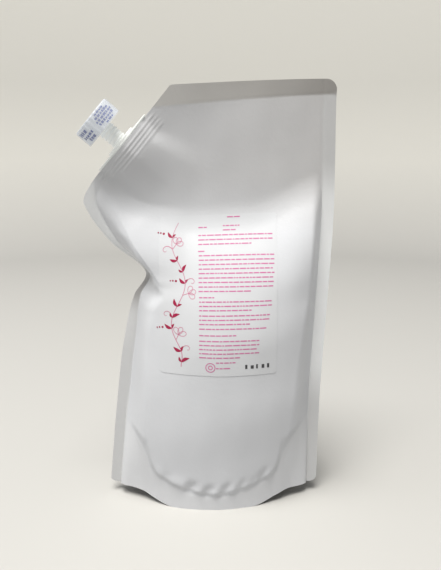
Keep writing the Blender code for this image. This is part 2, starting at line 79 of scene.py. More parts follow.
def soft_lamp(name, watts, width, place, aim, colour):
    """Square lamp of a given width, its back axis turned from the aim point to its place."""
    data = bpy.data.lights.new(name, "AREA")
    data.energy = watts
    data.size = width
    data.color = colour
    lamp = bpy.data.objects.new(name, data)
    lamp.location = place
    away = np.array(place) - np.array(aim)
    flat = math.hypot(away[0], away[1])
    lamp.rotation_euler = (math.atan2(flat, away[2]), 0.0, math.atan2(away[0], -away[1]))
    bpy.context.scene.collection.objects.link(lamp)


soft_lamp("lamp_above", KEY_WATTS, KEY_WIDTH, KEY_AT, KEY_AIM, KEY_TINT)
soft_lamp("lamp_left", SIDE_WATTS, SIDE_WIDTH, SIDE_AT, SIDE_AIM, SIDE_TINT)

world = bpy.data.worlds.new("studio_air")
world.use_nodes = True
world.node_tree.nodes["Background"].inputs["Color"].default_value = (*SKY_TINT, 1.0)
world.node_tree.nodes["Background"].inputs["Strength"].default_value = SKY_LEVEL
bpy.context.scene.world = world
bpy.context.scene.view_settings.view_transform = "Standard"


def quads_between(number):
    """One quad between each four neighbours in an array of point numbers [row, column]."""
    corners = [number[:-1, :-1], number[:-1, 1:], number[1:, 1:], number[1:, :-1]]
    return np.stack(corners, axis=-1).reshape(-1, 4).tolist()


def mesh_piece(name, points, faces, crease=35.0, outwards=False):
    """Smooth mesh object from points and faces, with its faces turned outwards where asked."""
    mesh = bpy.data.meshes.new(name)
    mesh.from_pydata(points.reshape(-1, 3).tolist(), [], faces)
    if outwards:
        shape = bmesh.new()
        shape.from_mesh(mesh)
        bmesh.ops.recalc_face_normals(shape, faces=shape.faces)
        shape.to_mesh(mesh)
        shape.free()
    mesh.shade_smooth()
    mesh.set_sharp_from_angle(angle=math.radians(crease))
    piece = bpy.data.objects.new(name, mesh)
    bpy.context.scene.collection.objects.link(piece)
    return piece


def skin(name, points, ring=False, loop=False, ends=False, more=(), crease=35.0):
    """Piece over an array of points [row, column].

    ring joins the last column to the first, loop the last row to the first, ends closes the first
    and last rows with one face each, and more adds other faces. A closed one is turned outwards."""
    rows, columns = points.shape[:2]
    number = np.arange(rows * columns).reshape(rows, columns)
    if ring:
        number = np.concatenate([number, number[:, :1]], axis=1)
    if loop:
        number = np.concatenate([number, number[:1]], axis=0)
    faces = quads_between(number)
    if ends:
        faces += [number[0, :columns][::-1].tolist(), number[-1, :columns].tolist()]
    closed = bool(ends or more or (ring and loop))
    return mesh_piece(name, points, faces + list(more), crease, closed)


def joined(name, grids, more=(), closed=False):
    """One piece of several grids of points [row, column], each with its own quads."""
    faces, first = list(more), 0
    for grid in grids:
        rows, columns = grid.shape[:2]
        faces += quads_between(first + np.arange(rows * columns).reshape(rows, columns))
        first += rows * columns
    return mesh_piece(name, np.concatenate([g.reshape(-1, 3) for g in grids]), faces, outwards=closed)


def smooth_step(share):
    """0 below 0, 1 above 1, and 3 t squared less 2 t cubed between."""
    share = np.clip(share, 0.0, 1.0)
    return share * share * (3 - 2 * share)


def node_tools(look):
    """Adds and links nodes in a material or group: returns add(kind, inputs, settings)."""
    tree = look.node_tree if hasattr(look, "node_tree") else look

    def add(kind, inputs=(), **settings):
        node = tree.nodes.new(kind)
        for key, value in settings.items():
            setattr(node, key, value)
        for socket, value in dict(inputs).items():
            if isinstance(value, bpy.types.NodeSocket):
                tree.links.new(value, node.inputs[socket])
            else:
                node.inputs[socket].default_value = value
        return node

    return add


def mixed(add, share, first, second):
    """Colour between two colours or sockets, by a share."""
    node = add("ShaderNodeMix", {0: share, 6: first, 7: second}, data_type="RGBA")
    return node.outputs[2]


def worked(add, operation, first, second=0.0, third=0.0):
    """One step of arithmetic on values."""
    return add("ShaderNodeMath", {0: first, 1: second, 2: third}, operation=operation).outputs[0]


turn = np.linspace(0, 2 * math.pi, 96, endpoint=False)
bend = np.linspace(0, math.pi / 2, 16)
radius = np.concatenate([[FLOOR_HOLE_R, FLOOR_R * 0.5], FLOOR_R + WALL_BEND_R * np.sin(bend),
                         [FLOOR_R + WALL_BEND_R]])
height = np.concatenate([[0.0, 0.0], WALL_BEND_R * (1 - np.cos(bend)), [WALL_TOP]])
bowl = skin("floor", np.stack([radius[:, None] * np.cos(turn), radius[:, None] * np.sin(turn),
                               height[:, None] + 0 * turn], axis=-1)[:, ::-1], ring=True)
floor_look = bpy.data.materials.new("pale_floor")
floor_look.use_nodes = True
floor_look.node_tree.nodes["Principled BSDF"].inputs["Roughness"].default_value = FLOOR_ROUGH
floor_add = node_tools(floor_look)
path = floor_add("ShaderNodeLightPath")
seen = worked(floor_add, "ADD", path.outputs["Is Camera Ray"], path.outputs["Is Glossy Ray"])
seen = worked(floor_add, "ADD", seen, path.outputs["Is Transmission Ray"])
place = floor_add("ShaderNodeSeparateXYZ", {0: floor_add("ShaderNodeTexCoord").outputs["Object"]})
rising = floor_add("ShaderNodeMapRange", {"Value": place.outputs["Z"], "From Min": 0.0,
                                          "From Max": WALL_FADE})
paint = mixed(floor_add, rising.outputs[0], (*FLOOR_COLOUR, 1.0), (*WALL_COLOUR, 1.0))
floor_look.node_tree.links.new(mixed(floor_add, seen, (*FLOOR_BOUNCE, 1.0), paint),
                               floor_look.node_tree.nodes["Principled BSDF"].inputs["Base Color"])
bowl.data.materials.append(floor_look)

# Pouch: white laminated film, sealed on every edge and filled with about 1.2 litres of shampoo.
# Front, back and bottom gusset are one closed skin, worked out over side to side place and height,
# because the real pack is one sealed bag that nothing shows into.

WIDTH = 0.180
HEIGHT = 0.3205
TOP_SAG = 0.0045
TOP_CORNER_R = 0.008
SIDE_SEAL = 0.009
FILM_HALF = 0.0005
SHEET = 0.0011
CUT_X = 0.0622
CUT_Z = 0.0727
CUT_FOOT_RUN = 0.0135
CUT_FOOT_DROP = 0.0058
CORNER_LEAN = 0.155
CORNER_FOLD = 0.030
CORNER_BEND = 0.014
BULGE_FRONT = 0.0337
BULGE_BACK = 0.026
CREASE_FRONT = 0.0045
CREASE_BACK = 0.010
SIDE_MELT = 0.020
ARCH = 0.62
ARCH_RISE = 1.2
BASE_BLEND = 0.095
SHOULDER = 0.100
VALLEY_SOFT = 0.012
BASE_HALF = 0.028
LEAN_FROM = HEIGHT - 0.0925
LEAN_SLOPE = 0.105
LEAN_BEND = 0.020
LEFT_DRAW = [(0.000, 0.005), (0.080, 0.014), (0.132, 0.0215), (0.166, 0.030), (0.184, 0.0393),
             (0.206, 0.0148), (0.225, 0.0012), (0.2304, -0.0011), (0.2347, -0.0030), (0.2375, -0.0035)]
RIGHT_DRAW = [(0.000, 0.005), (0.080, 0.005), (0.193, 0.0010), (0.2285, 0.0002), (0.2585, 0.0012),
              (0.3055, 0.0034), (0.3205, 0.0038)]
LEFT_SLOPE = [(0.000, 1.3), (0.100, 1.6), (0.140, 1.9), (0.158, 1.6), (0.174, 1.6), (0.184, 4.8),
              (0.189, 5.8), (0.201, 2.1), (0.216, 1.3), (0.231, 0.85), (0.240, 0.8)]
RIGHT_SLOPE = [(0.000, 1.3), (0.120, 1.8), (0.204, 2.4), (0.249, 0.9)]
VALLEY = [(-0.092, 0.2425), (-0.064, 0.240), (-0.046, 0.2345), (-0.028, 0.228), (-0.018, 0.225),
          (0.002, 0.2265), (0.040, 0.2315), (0.071, 0.247), (0.090, 0.250)]
PINCH_Z = 0.182
PINCH_HIGH = 0.030
PINCH_TURN = 0.0055
PINCH_SWING = 0.0126
CORNER_LIFT = 0.009
LIFT_FROM = 0.030
LIFT_RUN = 0.032
FOOT_CORNER_AT = 0.0852
FOOT_CORNER_R = 0.0065
GUSSET_SEAM = [(0.000, 0.008), (0.028, 0.010), (0.048, 0.034), (0.062, 0.050), (0.072, 0.0105)]
GUSSET_FOLD = [(0.000, 0.000), (0.028, 0.000), (0.048, 0.026), (0.062, 0.046), (0.072, 0.0100)]
LABEL_LEFT = 0.038
LABEL_RIGHT = 0.047
LABEL_HEAD = HEIGHT - 0.093
LABEL_H = 0.1135
LABEL_SKEW = 0.040
BELOW_LABEL = 0.070
BOAT_HALF = 0.0245
BOAT_DEPTH = 0.0125
BOAT_T = 0.0064
BOAT_SHAPE = 1.35
FIN_T = 0.0005
BOAT_COVER = 0.0010
BOAT_MELT = 0.0006
TENT_REACH = 0.055
TENT_SIDE = 0.0035
TENT_SOFT = 0.010
TENT_SOFTER = 0.3
TENT_FALL = 1.6
SPOUT_SHARE = 0.528
ROW_COUNTS = (56, 30, 80, 6, 80)
COLUMN_COUNTS = (8, 44, 60, 28, 8)
COLUMN_EASE = 1.35
VALLEY_OVER_LABEL = 0.003
VALLEY_UNDER_EDGE = 0.002
BASE_FLAT = 0.029
GUSSET_GAP = 0.0003
GUSSET_FLAT = 0.55
GUSSET_RISE = 0.42
GUSSET_POWER = 1.4
MASK_SOFT = 0.0012

CUT_TOP = np.array([CUT_X - WIDTH / 2, HEIGHT - TOP_SAG])
CUT_FOOT = CUT_TOP - np.array([CUT_X - LEFT_DRAW[-1][1], CUT_Z])
CUT_DIR = (CUT_TOP - CUT_FOOT) / np.linalg.norm(CUT_TOP - CUT_FOOT)
SIDE_TOP = CUT_FOOT[1] - CUT_FOOT_DROP
SPOUT_AT = CUT_TOP + SPOUT_SHARE * (CUT_FOOT - CUT_TOP)
SLOPE_X = CORNER_LEAN * CUT_DIR[1]
SLOPE_Z = -LEAN_SLOPE - CORNER_LEAN * CUT_DIR[0]
EDGE = np.array([CUT_DIR[0], -LEAN_SLOPE * CUT_DIR[1], CUT_DIR[1]])
EDGE = EDGE / np.linalg.norm(EDGE)
BACKWARD = np.array([-SLOPE_X, 1, -SLOPE_Z]) / math.hypot(SLOPE_X, 1, SLOPE_Z)
OUT = np.cross(EDGE, BACKWARD)


def through(table, at):
    """Smooth curve through a table's points: cubic Hermite pieces with mean slopes."""
    x, y = np.array(table).T
    step = np.diff(y) / np.diff(x)
    slope = np.concatenate([[step[0]], (step[1:] + step[:-1]) / 2, [step[-1]]])
    at = np.clip(at, x[0], x[-1])
    i = np.clip(np.searchsorted(x, at, side="right") - 1, 0, len(x) - 2)
    w = x[i + 1] - x[i]
    t = (at - x[i]) / w
    return (y[i] * (1 + 2 * t) * (1 - t) ** 2 + y[i + 1] * t**2 * (3 - 2 * t)
            + w * t * (1 - t) * (slope[i] * (1 - t) - slope[i + 1] * t))


def soft_min(a, b, reach):
    """The smaller of a and b, rounded by a parabola where they differ by less than the reach."""
    mix = np.clip(0.5 + 0.5 * (b - a) / reach, 0, 1)
    return b * (1 - mix) + a * mix - reach * mix * (1 - mix)


def soft_max(a, b, reach):
    """The larger of a and b, rounded in the same way."""
    return -soft_min(-a, -b, reach)


def lean(z):
    """How far forward the empty top leans: nothing below LEAN_FROM, then a straight slope."""
    return LEAN_SLOPE * soft_max(z - LEAN_FROM, 0.0 * z, LEAN_BEND)


def into_bend(x, z):
    """How far past the cut corner's fold a point is: the fold's distance in from the cut, less
    the point's own."""
    return CORNER_FOLD - (x - CUT_TOP[0]) * CUT_DIR[1] + (z - CUT_TOP[1]) * CUT_DIR[0]


def middle_y(x, z):
    """Y of the film's middle: the lean, and the cut corner's straight slope forward."""
    return -lean(z) - CORNER_LEAN * soft_max(into_bend(x, z), 0.0 * z, CORNER_BEND)


def seal_width(z):
    """Apparent width of the left seal: its full width less a bell curve round the pinch."""
    return SIDE_SEAL - PINCH_TURN * np.exp(-(((z - PINCH_Z) / PINCH_HIGH) ** 2))


def top_line(x):
    """Height of the top edge, which sags by a square towards the cut corner."""
    return HEIGHT - TOP_SAG * ((WIDTH / 2 - x) / (WIDTH / 2 - CUT_TOP[0])) ** 2


def top_edge(x):
    """Height of the upper edge: the lower of the round-cornered top and the slanted cut, whose
    foot falls off as an ellipse."""
    into = np.clip(x - (WIDTH / 2 - TOP_CORNER_R), 0, TOP_CORNER_R)
    flat = top_line(x) - (TOP_CORNER_R - np.sqrt(np.maximum(TOP_CORNER_R**2 - into**2, 0)))
    past = np.clip((CUT_FOOT[0] - x) / CUT_FOOT_RUN + 1, 0, 1)
    cut = CUT_TOP[1] + (x - CUT_TOP[0]) * CUT_DIR[1] / CUT_DIR[0]
    return np.minimum(flat, cut - CUT_FOOT_DROP * (1 - np.sqrt(1 - past**2)))


def bottom_edge(x):
    """Height of the lower rim: on the table in the middle, curled up at the sides, and cut round
    at the corners."""
    into = np.clip(np.abs(x) - (FOOT_CORNER_AT - FOOT_CORNER_R), 0, FOOT_CORNER_R)
    corner = FOOT_CORNER_R - np.sqrt(FOOT_CORNER_R**2 - into**2)
    return CORNER_LIFT * smooth_step((np.abs(x) - LIFT_FROM) / LIFT_RUN) + corner


def boat_half(e):
    """Half thickness of the spout's boat at e along the cut: 1 less a power, on thin fins."""
    return FIN_T + (BOAT_T - FIN_T) * np.clip(1 - (np.abs(e) / BOAT_HALF) ** BOAT_SHAPE, 0, 1)


def cut_place(x, z):
    """Distance along the cut from the spout's axis, and distance in from the cut."""
    dx, dz = x - SPOUT_AT[0], z - SPOUT_AT[1]
    return (dx * (EDGE[0] + SLOPE_X * EDGE[1]) + dz * (EDGE[2] + SLOPE_Z * EDGE[1]),
            -dx * (OUT[0] + SLOPE_X * OUT[1]) - dz * (OUT[2] + SLOPE_Z * OUT[1]))


def tent(x, z):
    """Half thickness that the boat gives the film: its outline, wider and lower away from it."""
    e, n = cut_place(x, z)
    past = np.clip(n - BOAT_DEPTH - 0.001, 0, None) / TENT_REACH
    wider = 1 + past
    soft = TENT_SOFT + TENT_SOFTER * np.clip(n, 0, None)
    ends = smooth_step((BOAT_HALF * wider + TENT_SIDE - np.abs(e)) / soft)
    return (boat_half(e / wider) + BOAT_COVER) * ends * np.clip(1 - past, 0, 1) ** TENT_FALL


def filled_half(x, z, left, right, valley, bulge, crisp):
    """Half thickness of the filled bag: the lowest of two side slopes and an arched roof that
    falls to nothing at the valley, melted together, and blended to a lens at the base."""
    left_side = through(LEFT_SLOPE, z) * np.clip(x - left, 0, None)
    right_side = through(RIGHT_SLOPE, z) * np.clip(right - x, 0, None)
    down = np.clip(soft_max(valley - z, 0.0 * z, VALLEY_SOFT) / SHOULDER, 0, 1)
    across = np.clip((2 * x - left - right) / (right - left), -1, 1)
    roof = bulge * np.sin(down * math.pi / 2) * (1 - ARCH * across**2 * smooth_step(down * ARCH_RISE))
    full = soft_min(soft_min(left_side, right_side, SIDE_MELT), roof, crisp)
    lens = BASE_HALF * np.clip(1 - (x / (WIDTH / 2 - LEFT_DRAW[0][1] - SIDE_SEAL / 2)) ** 2, 0, 1)
    blend = smooth_step(z / BASE_BLEND)
    return np.clip(lens * (1 - blend) + full * blend, 0, None)


# Fine forms of the film, in metres: heat-sealed ribs over the spout's base, the line of the
# gusset's seal with the puckers above it, the pressed border of the side seals, and slack waves.

RIB_PITCH = 0.0027
RIB_FIRST = 0.0034
RIB_COUNT = 4
RIB_H = 0.00038
RIB_REACH = 0.031
RIB_FADE = 0.003
BORDER_H = 0.00022
BORDER_HALF = 0.0011
BODY_FROM = 0.002
BODY_RUN = 0.012
BAND_WIDTH = [(-0.0295, 0.0135), (0.090, 0.0100)]
BAND_CURL = 0.16
BAND_LINE_H = 0.00015
BAND_LINE_AT = 0.0006
BAND_LINE_HALF = 0.0007
RIDGE_LINE = [(0.1774, -0.0373), (0.1918, -0.0463), (0.2033, -0.0541), (0.2174, -0.0625),
              (0.2439, -0.0765)]
RIDGE_H = 0.0016
RIDGE_SQUARE = 0.86
RIDGE_INNER = 0.0065
RIDGE_OUTER = 0.0026
RIDGE_FOOT = 0.174
RIDGE_FOOT_RUN = 0.008
RIDGE_HEAD = 0.246
RIDGE_HEAD_RUN = 0.014
SEAM_STEP = 0.0022
SEAM_SOFT = 0.0055
SKIRT_FOLD = 0.00035
FOLD_RUN = 0.0026
FOLD_SLANT = 40
FOLD_DROP = 0.004
FOLDS_FROM = 0.045
FOLDS_SOFT = 0.006
GUSSET_SHIFT = 0.0015
GUSSET_SPREAD = 0.97
GUSSET_LINE = [(0.000, 0.0104), (0.019, 0.0140), (0.038, 0.0215), (0.048, 0.0300), (0.0525, 0.0450),
               (0.071, 0.0690)]
GUSSET_TOP = 0.085
GUSSET_FADE = 0.030
PUCKERS = [(-0.038, 0.4), (-0.0185, 1.2), (-0.0055, 1.0), (0.0075, 1.0), (0.020, 0.7), (0.029, 0.5),
           (0.0365, 0.9)]
PUCKER_DEPTH = 0.0024
PUCKER_LEAN = 0.35
PUCKER_HALF = 0.0042
PUCKER_ROLL = 0.25
PUCKER_UP = 0.0062
PUCKER_TALL = 0.0050
PUCKERS_END = 0.049
PUCKERS_SOFT = 0.010
SLACK_LENGTHS = (0.071, 0.052, 0.043, 0.031, 0.024)
SLACK_STEEP = 0.0035
SLACK_SHARE = 0.8


def weld_ribs(x, z):
    """Ridges beside the cut: a raised cosine of the distance in, faded at both ends."""
    e, n = cut_place(x, z)
    phase = (n - RIB_FIRST) / RIB_PITCH
    wave = 0.5 + 0.5 * np.cos(2 * math.pi * phase)
    inside = smooth_step((phase + 0.6) / 0.2) * smooth_step((RIB_COUNT - 0.4 - phase) / 0.2)
    return RIB_H * wave * inside * smooth_step((RIB_REACH - np.abs(e)) / RIB_FADE)


def band_height(x, z):
    """Height above the lower border of the top seal band, from 0 below it to the band's width."""
    width = np.interp(x, *np.array(BAND_WIDTH).T)
    return np.clip((z - top_line(x) + width) / width, 0, 1) * width


def gusset_distance(x, z):
    """Distance above the gusset's seal line, its height difference over the line's steepness."""
    side = np.abs(x - GUSSET_SHIFT) * GUSSET_SPREAD
    steep = (through(GUSSET_LINE, side + 0.0005) - through(GUSSET_LINE, side - 0.0005)) / 0.001
    return (z - through(GUSSET_LINE, side)) / np.sqrt(1 + steep**2)


def puckers(x, away):
    """Dents above the gusset line: bell curves at each pucker's place, and raised rolls between."""
    places, depths = np.array(PUCKERS).T
    slanted = x[..., None] - PUCKER_LEAN * away[..., None]
    bells = np.exp(-(((slanted - places) / PUCKER_HALF) ** 2)) * depths
    belt = np.exp(-(((away - PUCKER_UP) / PUCKER_TALL) ** 2))
    ends = smooth_step((PUCKERS_END - np.abs(x)) / PUCKERS_SOFT)
    return (PUCKER_ROLL - bells.sum(axis=-1)) * belt * ends


def slack(x, z):
    """Slow waves of slack film: a sum of sines of a few directions and lengths."""
    draw = np.random.default_rng(11)
    total = 0.0 * x
    for length in SLACK_LENGTHS:
        angle, shift = draw.uniform(0, math.pi), draw.uniform(0, 2 * math.pi)
        along = x * math.cos(angle) + z * math.sin(angle)
        total = total + length * np.sin(2 * math.pi * along / length + shift)
    return total * SLACK_STEEP


def left_ridge(x, z):
    """Crisp ridge from the left corner down to the pinch: an exponential on each side of its line,
    steep towards the seal and slow towards the middle."""
    off = (x - through(RIDGE_LINE, z)) * RIDGE_SQUARE
    ends = (smooth_step((z - RIDGE_FOOT) / RIDGE_FOOT_RUN)
            * smooth_step((RIDGE_HEAD - z) / RIDGE_HEAD_RUN))
    return RIDGE_H * ends * np.exp(-np.where(off > 0, off / RIDGE_INNER, -off / RIDGE_OUTER))


def relief(x, z, left, right, front):
    """All fine forms together, in metres of film thickness added to one side."""
    inside = np.minimum(x - left, right - x)
    away = gusset_distance(x, z)
    border = -BORDER_H * np.exp(-((inside / BORDER_HALF) ** 2))
    body = smooth_step((inside - BODY_FROM) / BODY_RUN)
    seam = SEAM_STEP * (smooth_step(away / SEAM_SOFT) - 1)
    folds = SKIRT_FOLD * np.sin(x / FOLD_RUN + FOLD_SLANT * z) * smooth_step(-away / FOLD_DROP)
    folds = folds * smooth_step((np.abs(x) - FOLDS_FROM) / FOLDS_SOFT)
    low = smooth_step((GUSSET_TOP - z) / GUSSET_FADE)
    up_band = band_height(x, z)
    line = -BAND_LINE_H * np.exp(-(((up_band - BAND_LINE_AT) / BAND_LINE_HALF) ** 2)) * (up_band > 0)
    total = border + line + weld_ribs(x, z) + slack(x, z) * body * SLACK_SHARE
    if front:
        total = total + left_ridge(x, z)
        total = total + (seam * low + folds + PUCKER_DEPTH * puckers(x, away)) * body
    return total


def film_point(x, z, left, right, valley):
    """Front and back points of the film: its middle, and half its thickness square to the lean."""
    turned = (1 - seal_width(z) / SIDE_SEAL) * np.clip(left - x, 0, None) / SIDE_SEAL
    middle = middle_y(x, z) - BAND_CURL * band_height(x, z) + PINCH_SWING * turned
    inside = np.where((x < left) | (x > right), 0, 1)
    boat = tent(x, z)
    bent = CORNER_LEAN * np.clip(0.5 + 0.5 * into_bend(x, z) / CORNER_BEND, 0, 1)
    tilt = LEAN_SLOPE * np.clip((z - LEAN_FROM) / LEAN_BEND, 0, 1) + bent * CUT_DIR[0]
    normal = np.stack([-bent * CUT_DIR[1], 1 + 0.0 * z, tilt], axis=-1)
    normal /= np.linalg.norm(normal, axis=-1, keepdims=True)
    sides = []
    for sign, bulge, crisp in ((-1, BULGE_FRONT, CREASE_FRONT), (1, BULGE_BACK, CREASE_BACK)):
        half = filled_half(x, z, left, right, valley, bulge, crisp) * inside
        half = soft_max(half, boat, BOAT_MELT) + FILM_HALF
        half = np.maximum(half + relief(x, z, left, right, sign < 0), FILM_HALF * 0.6)
        sides.append(np.stack([x, middle, z], axis=-1) + sign * normal * half[..., None])
    return sides


def spread(counts):
    """Values from 0 to the number of stretches, with the given number of steps in each."""
    parts = [np.linspace(k, k + 1, n, endpoint=False) for k, n in enumerate(counts)]
    return np.concatenate(parts + [[float(len(counts))]])


def blend_stops(stops, at):
    """Straight lines between stops [k, ...], read at positions [i] counted in stops."""
    whole = np.minimum(at.astype(int), len(stops) - 2)
    part = (at - whole).reshape(-1, *[1] * (stops.ndim - 1))
    return stops[whole] * (1 - part) + stops[whole + 1] * part


def edges_at(z):
    """Left and right edges and inner seal lines at a height."""
    held = np.minimum(z, SIDE_TOP)
    left, right = -WIDTH / 2 + through(LEFT_DRAW, held), WIDTH / 2 - through(RIGHT_DRAW, z)
    return left, left + seal_width(z), right - SIDE_SEAL, right


share = spread(COLUMN_COUNTS)
share = np.where((share > 1) & (share < 2), 1 + np.abs(share - 1) ** COLUMN_EASE, share)
level = spread(ROW_COUNTS)
left_most, _, _, right_most = (float(edge) for edge in edges_at(np.array(SIDE_TOP)))
nominal = blend_stops(np.array([left_most, left_most + SIDE_SEAL, -LABEL_LEFT, LABEL_RIGHT,
                                right_most - SIDE_SEAL, right_most]), share)
foot = [float(edge) for edge in edges_at(np.array(CORNER_LIFT))]
at_foot = blend_stops(np.array([*foot[:2], -LABEL_LEFT, LABEL_RIGHT, *foot[2:]]), share)
label_head = LABEL_HEAD + LABEL_SKEW * nominal
valley = through(VALLEY, nominal)
middle_row = np.minimum(np.maximum(valley, label_head + VALLEY_OVER_LABEL),
                        top_edge(nominal) - VALLEY_UNDER_EDGE)
heights = np.stack([bottom_edge(at_foot), BELOW_LABEL + 0 * nominal, LABEL_HEAD - LABEL_H + 0 * nominal,
                    label_head, middle_row, top_edge(nominal)])
z = blend_stops(heights, level)
edges = edges_at(z)
sides = np.stack([edges[0], edges[1], -LABEL_LEFT + 0 * z, LABEL_RIGHT + 0 * z, edges[2], edges[3]])
columns = np.arange(len(share))
x = blend_stops(sides.transpose(0, 2, 1), share)[columns, columns].T
front, back = film_point(x, z, edges[1], edges[2], valley)

slope = np.linspace(GUSSET_FLAT, 1, 14)
across = np.concatenate([-slope[::-1], np.linspace(-0.5, 0.5, 9), slope])[:, None]
off_middle = np.abs(x[0])
seam_z = np.maximum(through(GUSSET_SEAM, off_middle), z[0] + GUSSET_GAP)
fold_z = np.maximum(through(GUSSET_FOLD, off_middle),
                    np.where(off_middle < BASE_FLAT, 0.0, z[0] + GUSSET_GAP))
depth = np.where(across < 0, -front[0, :, 1], back[0, :, 1])
depth = depth - np.minimum(SHEET, depth * 0.6)
rise = np.clip((np.abs(across) - GUSSET_FLAT) / GUSSET_RISE, 0, 1) ** GUSSET_POWER
under_z = fold_z + (seam_z - fold_z) * rise
under_z[[0, -1]] = z[0]
under = np.stack([x[0] + 0 * depth, depth * across, under_z], axis=-1)
round_pouch = np.concatenate([front[::-1], under, back])
count = len(round_pouch)
side_faces = []
for start in (0, (len(share) - 1) * count):
    pairs = np.stack([start + np.arange(len(level)), start + count - 1 - np.arange(len(level))], axis=-1)
    side_faces += np.stack([pairs[:-1, 0], pairs[1:, 0], pairs[1:, 1], pairs[:-1, 1]], axis=-1).tolist()
    side_faces.append(list(range(start + len(level) - 1, start + count - len(level) + 1)))
pouch_skin = skin("pouch_skin", round_pouch.transpose(1, 0, 2), ring=True, more=side_faces, crease=40.0)


def paint_attribute(piece, name, values):
    """Stores one number for each point of the mesh, for the piece's material to read."""
    layer = piece.data.attributes.new(name, "FLOAT", "POINT")
    layer.data.foreach_set("value", np.asarray(values, np.float32).ravel())


def around_pouch(values, below):
    """A number worked out over the front's grid, laid round the pouch in its points' order."""
    return np.concatenate([values[::-1], np.full((len(across), len(share)), below), values]).T


# Painted light: the side seals are painted near white where light falls on them, the left one above the
# pinch and the right one at mid height.
SEAL_LIGHT_LEFT_FROM = 0.170
SEAL_LIGHT_LEFT_RUN = 0.030
SEAL_LIGHT_RIGHT_FROM = 0.070
SEAL_LIGHT_RIGHT_RUN = 0.050
SEAL_LIGHT_RIGHT_END = 0.235
SEAL_LIGHT_RIGHT_END_RUN = 0.035
# Painted shade: a dark grey is painted on the left seal just under the pinch, where it lies in the shade
# of the overhanging bulge.
FOLD_SHADE_AT = 0.172
FOLD_SHADE_HALF = 0.013

from_side = np.minimum(x - edges[1], edges[2] - x)
seal_share = 1 - smooth_step((from_side + MASK_SOFT / 2) / MASK_SOFT)
seal_light_right = (smooth_step((z - SEAL_LIGHT_RIGHT_FROM) / SEAL_LIGHT_RIGHT_RUN)
              * (1 - smooth_step((z - SEAL_LIGHT_RIGHT_END) / SEAL_LIGHT_RIGHT_END_RUN)))
seal_light_share = np.where(x < 0, smooth_step((z - SEAL_LIGHT_LEFT_FROM) / SEAL_LIGHT_LEFT_RUN), seal_light_right)
fold_shade_share = seal_share * np.exp(-(((z - FOLD_SHADE_AT) / FOLD_SHADE_HALF) ** 2)) * (x < 0)
skirt_share = (1 - smooth_step((gusset_distance(x, z) + MASK_SOFT / 2) / MASK_SOFT)) * (1 - seal_share)
paint_attribute(pouch_skin, "seal", around_pouch(seal_share, 0.0))
paint_attribute(pouch_skin, "seal_painted_light", around_pouch(seal_light_share, 0.0))
paint_attribute(pouch_skin, "fold_painted_shade", around_pouch(fold_shade_share, 0.0))
paint_attribute(pouch_skin, "band", around_pouch(smooth_step(band_height(x, z) / MASK_SOFT), 0.0))
paint_attribute(pouch_skin, "skirt", around_pouch(skirt_share, 1.0))

SLOW_SCALE = 28.0
FINE_SCALE = 340.0
GRAIN_SCALE = 2100.0
SLOW_SHARE = 1.6
GRAIN_SHARE = 0.18
ROUGH_SPAN = 0.12


def crinkle_group():
    """Node group: the fine unevenness of a plastic skin, as a height, and a slow patchy mask."""
    group = bpy.data.node_groups.new("film_crinkle", "ShaderNodeTree")
    for name, usual in (("Scale", 1.0), ("Sharpness", 0.5)):
        socket = group.interface.new_socket(name, in_out="INPUT", socket_type="NodeSocketFloat")
        socket.default_value = usual
    for name in ("Height", "Patch"):
        group.interface.new_socket(name, in_out="OUTPUT", socket_type="NodeSocketFloat")
    add = node_tools(group)
    given, place = add("NodeGroupInput"), add("ShaderNodeTexCoord")
    at, scale = place.outputs["Object"], given.outputs["Scale"]
    slow = add("ShaderNodeTexNoise", {"Vector": at, "Detail": 2.0,
                                      "Scale": worked(add, "MULTIPLY", scale, SLOW_SCALE)})
    fine = add("ShaderNodeTexNoise", {"Vector": at, "Detail": 3.0, "Roughness": 0.6,
                                      "Scale": worked(add, "MULTIPLY", scale, FINE_SCALE)})
    grain = add("ShaderNodeTexNoise", {"Vector": at, "Detail": 1.0,
                                       "Scale": worked(add, "MULTIPLY", scale, GRAIN_SCALE)})
    both = worked(add, "MULTIPLY_ADD", fine.outputs["Fac"], given.outputs["Sharpness"],
                  worked(add, "MULTIPLY", grain.outputs["Fac"], GRAIN_SHARE))
    add("NodeGroupOutput", {"Height": worked(add, "MULTIPLY_ADD", slow.outputs["Fac"], SLOW_SHARE, both),
                            "Patch": slow.outputs["Fac"]})
    return group


FILM_CRINKLE = crinkle_group()


def plastic(name, colour, rough, bump, scale, sharpness=0.5, patch=0.05, slot_values=()):
    """Plastic material: a base colour varied slowly, patchy roughness and fine bump.

    Returns the material, its node adder and the sockets of its colour and of its roughness."""
    look = bpy.data.materials.new(name)
    look.use_nodes = True
    add = node_tools(look)
    shader = look.node_tree.nodes["Principled BSDF"]
    for socket, value in dict(slot_values).items():
        shader.inputs[socket].default_value = value
    fine = add("ShaderNodeGroup", node_tree=FILM_CRINKLE)
    fine.inputs["Scale"].default_value = scale
    fine.inputs["Sharpness"].default_value = sharpness
    darker = tuple(c * (1 - patch) for c in colour)
    tint = mixed(add, fine.outputs["Patch"], (*darker, 1.0), (*colour, 1.0))
    sheen = worked(add, "MULTIPLY_ADD", fine.outputs["Patch"], ROUGH_SPAN, rough - ROUGH_SPAN / 2)
    relief_node = add("ShaderNodeBump", {"Height": fine.outputs["Height"], "Distance": bump,
                                         "Strength": 1.0})
    link = look.node_tree.links.new
    link(relief_node.outputs["Normal"], shader.inputs["Normal"])
    link(tint, shader.inputs["Base Color"])
    link(sheen, shader.inputs["Roughness"])
    return look, add, tint, sheen


